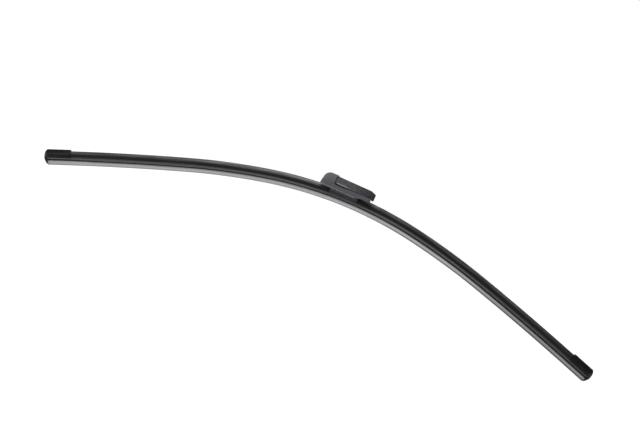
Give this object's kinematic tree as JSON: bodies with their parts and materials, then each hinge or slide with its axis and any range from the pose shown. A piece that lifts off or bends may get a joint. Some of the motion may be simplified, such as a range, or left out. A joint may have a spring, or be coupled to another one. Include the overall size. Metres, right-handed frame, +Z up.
{
  "type": "beam wiper blade",
  "caption": "Bowed beam wiper blade: ribbed rubber strip on spring rails, low spoiler with end caps, and a hollow arm adapter that rocks on a cross pin.",
  "frame": {"origin": "on the adapter's flat top, straight above the pivot pin's axis, halfway across the blade", "axes": "+X along the blade towards the adapter's open tail, +Z up out of the flat top towards the wiper arm, +Y across the blade"},
  "size_m": [0.6259, 0.0172, 0.1174],
  "materials": {
    "rubber": "matte with a graphite coat on the lip",
    "rail_steel": "bare spring steel",
    "spoiler": "satin elastomer",
    "cap_plastic": "satin",
    "base_plastic": "matte",
    "pin_steel": "turned",
    "shroud_plastic": "fine matte",
    "block_plastic": "fine matte"
  },
  "bodies": {
    "adapter": {"adapter_shroud": "shroud_plastic", "adapter_block": "block_plastic"},
    "blade": {"wiping_rubber": "rubber", "rail_front": "rail_steel", "rail_back": "rail_steel", "spoiler_left": "spoiler", "spoiler_right": "spoiler", "end_cap_left": "cap_plastic", "end_cap_right": "cap_plastic", "base_bracket": "base_plastic", "pivot_pin": "pin_steel"}
  },
  "joints": [
    {"name": "adapter_pivot", "type": "hinge", "parent": "adapter", "child": "blade", "pos_m": [0, 0, -0.0111], "axis": [0, 1, 0], "range_deg": [-3.2, 7.8]}
  ]
}
